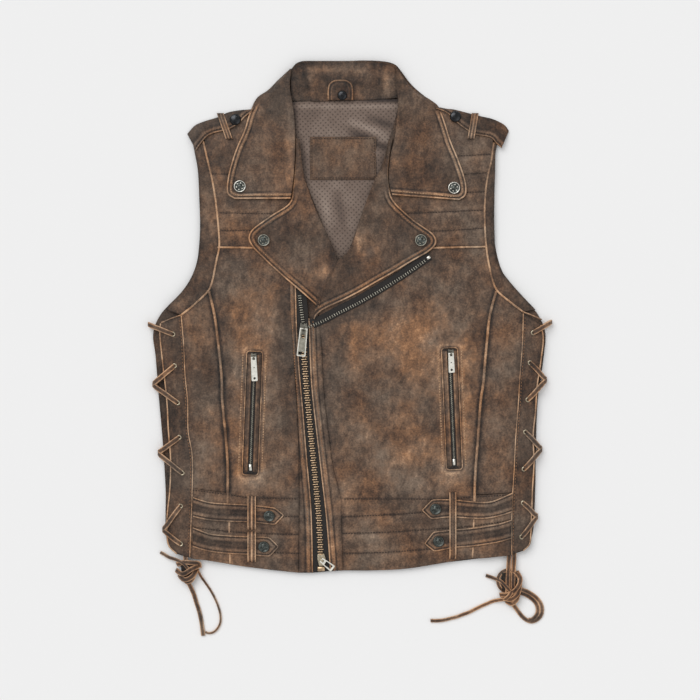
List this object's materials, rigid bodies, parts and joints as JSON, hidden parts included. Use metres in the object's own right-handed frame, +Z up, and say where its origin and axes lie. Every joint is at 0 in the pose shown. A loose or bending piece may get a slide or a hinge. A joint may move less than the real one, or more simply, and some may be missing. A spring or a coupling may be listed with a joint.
{
  "type": "leather vest",
  "caption": "Men's leather biker vest laid flat, with notched lapels, a diagonal zip, zipped pockets, quilted yokes and hem band, and laced sides.",
  "frame": {"origin": "on the surface the vest lies on, below the centre of the vest's box measured without the loose lace ends", "axes": "+Z up from the surface, +Y from the hem to the collar, +X to the viewer's right"},
  "size_m": [0.5237, 0.7487, 0.0142],
  "materials": {
    "leather": "distressed brown cow leather, worn lighter on folds and edges",
    "lining": "grey-brown knit lining with a grid of pin dots",
    "zip_tape": "black woven zip tape",
    "zip_brass": "antique brass, dull",
    "pull_nickel": "aged nickel, satin",
    "stud_metal": "gunmetal press stud caps, rubbed on the rim",
    "lace": "flat brown lacing with tan cut edges"
  },
  "bodies": {
    "vest": {"back_panel": "leather", "back_lining": "lining", "neck_patch": "leather", "front_left": "leather", "front_right": "leather", "yoke_left": "leather", "yoke_right": "leather", "side_front_left": "leather", "side_front_right": "leather", "eyelet_strip_left": "leather", "eyelet_strip_right": "leather", "armhole_band_left": "leather", "armhole_band_right": "leather", "hem_band_left": "leather", "hem_band_right": "leather", "placket_left": "leather", "placket_right": "leather", "zip_tape_main": "zip_tape", "zip_tape_right": "zip_tape", "lapel_left": "leather", "lapel_right": "leather", "collar_fall": "leather", "collar_stand": "leather", "pocket_welt_left": "leather", "pocket_welt_right": "leather", "hem_tab_left_upper": "leather", "hem_tab_left_lower": "leather", "hem_tab_right_upper": "leather", "hem_tab_right_lower": "leather", "tab_keeper_left_upper": "leather", "tab_keeper_left_lower": "leather", "tab_keeper_right": "leather", "epaulette_left": "leather", "epaulette_right": "leather", "hanger_tab": "leather", "collar_stud_left": "stud_metal", "collar_stud_right": "stud_metal", "lapel_stud_left": "stud_metal", "lapel_stud_right": "stud_metal", "slider_main": "zip_brass", "slider_bottom": "zip_brass", "slider_pocket_left": "zip_brass", "slider_pocket_right": "zip_brass", "lacing_left_top": "lace", "lacing_left_cross_1": "lace", "lacing_left_cross_2": "lace", "lacing_left_cross_3": "lace", "lacing_right_top": "lace", "lacing_right_cross_1": "lace", "lacing_right_cross_2": "lace", "lacing_right_cross_3": "lace", "lace_knot_left": "lace", "lace_knot_right": "lace", "lace_loop_left": "lace", "lace_loop_right": "lace", "lace_end_right": "lace"},
    "main_pull": {"pull_main": "pull_nickel"},
    "bottom_pull": {"pull_bottom": "pull_nickel"},
    "pocket_pull_left": {"pull_pocket_left": "pull_nickel"},
    "pocket_pull_right": {"pull_pocket_right": "pull_nickel"}
  },
  "joints": [
    {"name": "main_pull_hinge", "type": "hinge", "parent": "vest", "child": "main_pull", "pos_m": [-0.06, -0.016, 0.0099], "axis": [-0.9945, 0.1045, 0], "range_deg": [0, 165]},
    {"name": "bottom_pull_hinge", "type": "hinge", "parent": "vest", "child": "bottom_pull", "pos_m": [-0.037, -0.316, 0.0099], "axis": [-0.6157, -0.788, 0], "range_deg": [0, 165]},
    {"name": "pocket_pull_left_hinge", "type": "hinge", "parent": "vest", "child": "pocket_pull_left", "pos_m": [-0.125, -0.053, 0.0115], "axis": [-0.999, -0.0436, 0], "range_deg": [0, 165]},
    {"name": "pocket_pull_right_hinge", "type": "hinge", "parent": "vest", "child": "pocket_pull_right", "pos_m": [0.131, -0.048, 0.0115], "axis": [-0.999, -0.0436, 0], "range_deg": [0, 165]}
  ]
}
